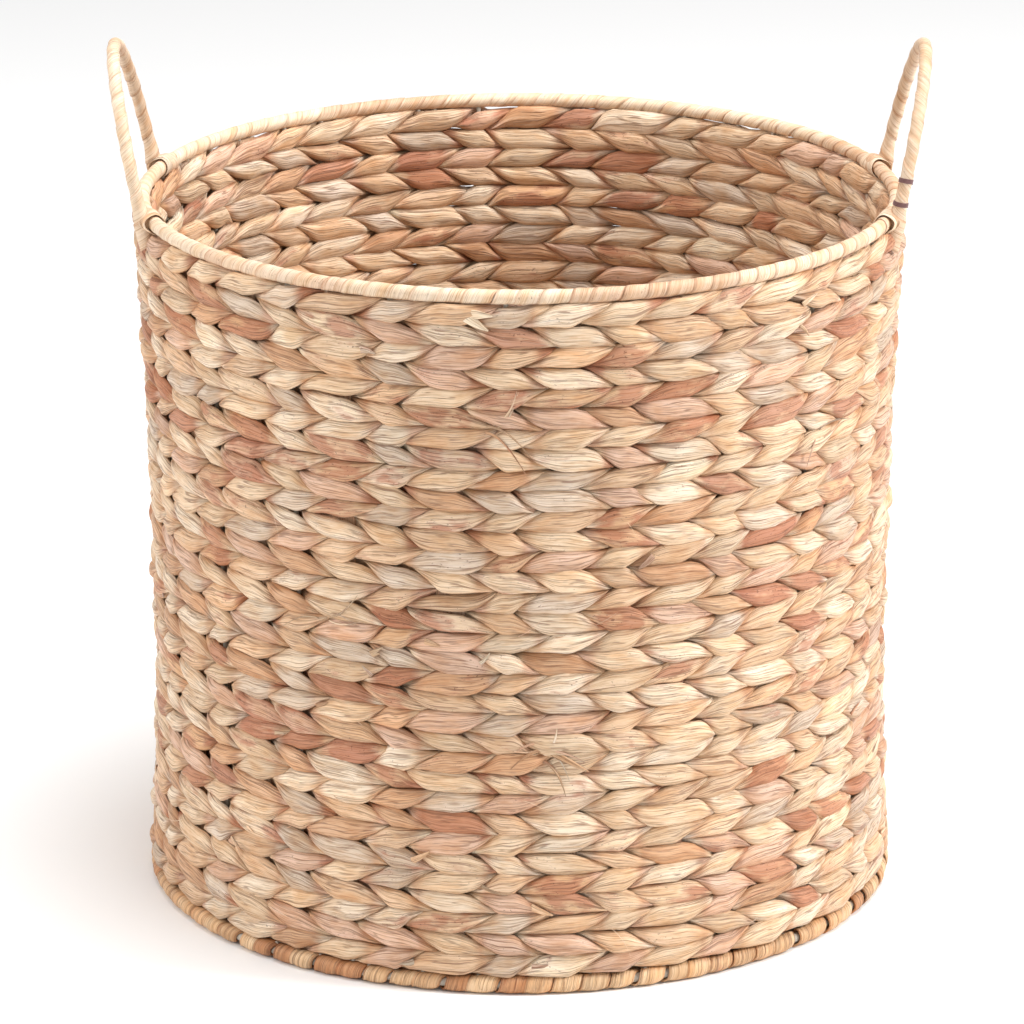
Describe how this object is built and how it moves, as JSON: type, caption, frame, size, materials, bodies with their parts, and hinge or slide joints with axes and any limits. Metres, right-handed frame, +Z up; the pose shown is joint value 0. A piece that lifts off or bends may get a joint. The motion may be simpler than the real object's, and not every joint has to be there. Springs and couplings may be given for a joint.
{
  "type": "laundry basket",
  "caption": "Round open laundry basket of twined leaf rows on a wire frame, with a wrapped rim and two rigid loop handles.",
  "frame": {"origin": "on the floor at the centre of the base", "axes": "+Z up, the two handles at +X and -X, the front at -Y"},
  "size_m": [0.4586, 0.4346, 0.4855],
  "materials": {
    "hyacinth": "matte dried leaf",
    "rim_leaf": "satin dried leaf strip",
    "upright_leaf": "matte dried leaf strip",
    "frame_wire": "satin paint",
    "bare_wire": "satin paint",
    "thread": "matte thread"
  },
  "bodies": {
    "root": {"rim_wire": "frame_wire", "rim_wrap": "rim_leaf", "base_ring_wire": "frame_wire", "base_border": "hyacinth", "plain_uprights": "bare_wire", "wide_upright_wires": "frame_wire", "wide_upright_wraps": "upright_leaf", "base_spokes": "bare_wire", "base_hub_ring": "frame_wire", "base_centre": "hyacinth", "right_handle_wire": "frame_wire", "left_handle_wire": "frame_wire", "right_handle_wrap": "rim_leaf", "left_handle_wrap": "rim_leaf", "foot_thread_bands": "thread", "wall_row_01": "hyacinth", "wall_row_02": "hyacinth", "wall_row_03": "hyacinth", "wall_row_04": "hyacinth", "wall_row_05": "hyacinth", "wall_row_06": "hyacinth", "wall_row_07": "hyacinth", "wall_row_08": "hyacinth", "wall_row_09": "hyacinth", "wall_row_10": "hyacinth", "wall_row_11": "hyacinth", "wall_row_12": "hyacinth", "wall_row_13": "hyacinth", "wall_row_14": "hyacinth", "wall_row_15": "hyacinth", "wall_row_16": "hyacinth", "wall_row_17": "hyacinth", "wall_row_18": "hyacinth", "wall_row_19": "hyacinth", "wall_row_20": "hyacinth", "wall_row_21": "hyacinth", "wall_row_22": "hyacinth", "wall_row_23": "hyacinth", "wall_row_24": "hyacinth", "wall_row_25": "hyacinth", "wall_row_26": "hyacinth", "wall_row_27": "hyacinth", "wall_row_28": "hyacinth", "wall_row_29": "hyacinth", "wall_row_30": "hyacinth", "wall_row_31": "hyacinth", "wall_row_32": "hyacinth", "wall_row_33": "hyacinth", "base_row_01": "hyacinth", "base_row_02": "hyacinth", "base_row_03": "hyacinth", "base_row_04": "hyacinth", "base_row_05": "hyacinth", "base_row_06": "hyacinth", "base_row_07": "hyacinth", "base_row_08": "hyacinth", "base_row_09": "hyacinth", "base_row_10": "hyacinth", "base_row_11": "hyacinth", "base_row_12": "hyacinth"}
  },
  "joints": []
}
